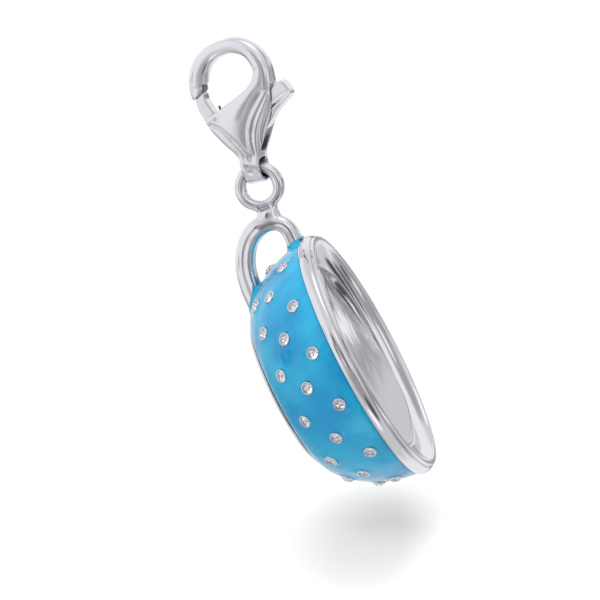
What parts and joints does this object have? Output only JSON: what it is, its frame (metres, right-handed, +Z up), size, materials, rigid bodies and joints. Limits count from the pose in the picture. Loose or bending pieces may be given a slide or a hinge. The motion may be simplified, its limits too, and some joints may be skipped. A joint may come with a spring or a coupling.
{
  "type": "charm",
  "caption": "Silver teacup charm with blue enamel and rows of small clear stones, hanging by the ring on its handle from a lobster clasp.",
  "frame": {"origin": "inside top of the clasp's hook, where the charm hangs", "axes": "+Z up, as the charm hangs; +Y to the back, across the plane of the cup's handle and bail ring; +X towards the cup's opening"},
  "size_m": [0.0112, 0.022, 0.0398],
  "materials": {
    "silver": "polished sterling silver",
    "steel": "spring steel wire, dark",
    "enamel": "glossy opaque enamel, sky blue",
    "clear_stone": "cut and polished clear stone"
  },
  "bodies": {
    "clasp": {"clasp_body": "silver", "lever_pin": "silver"},
    "lever": {"clasp_lever": "silver", "lever_spring": "steel"},
    "pendant": {"cup_silver": "silver", "cup_enamel": "enamel", "stone_01": "clear_stone", "stone_02": "clear_stone", "stone_03": "clear_stone", "stone_04": "clear_stone", "stone_05": "clear_stone", "stone_06": "clear_stone", "stone_07": "clear_stone", "stone_08": "clear_stone", "stone_09": "clear_stone", "stone_10": "clear_stone", "stone_11": "clear_stone", "stone_12": "clear_stone", "stone_13": "clear_stone", "stone_14": "clear_stone", "stone_15": "clear_stone", "stone_16": "clear_stone", "stone_17": "clear_stone", "stone_18": "clear_stone", "stone_19": "clear_stone", "stone_20": "clear_stone", "stone_21": "clear_stone", "stone_22": "clear_stone", "stone_23": "clear_stone", "stone_24": "clear_stone", "stone_25": "clear_stone", "stone_26": "clear_stone", "stone_27": "clear_stone", "stone_28": "clear_stone", "stone_29": "clear_stone", "stone_30": "clear_stone", "stone_31": "clear_stone", "stone_32": "clear_stone", "stone_33": "clear_stone", "stone_34": "clear_stone", "stone_35": "clear_stone", "stone_36": "clear_stone"}
  },
  "joints": [
    {"name": "lever_turn", "type": "hinge", "parent": "clasp", "child": "lever", "pos_m": [-0.00125, -0.00002, -0.00704], "axis": [0.2543, 0.9659, -0.0481], "range_deg": [0, 28], "stiffness_Nm_per_rad": 0.005, "springref_deg": -34.38},
    {"name": "pendant_swing", "type": "hinge", "parent": "clasp", "child": "pendant", "pos_m": [-0.00131, -0.00022, -0.01124], "axis": [0, 1, 0], "range_deg": [-85, 85]}
  ]
}
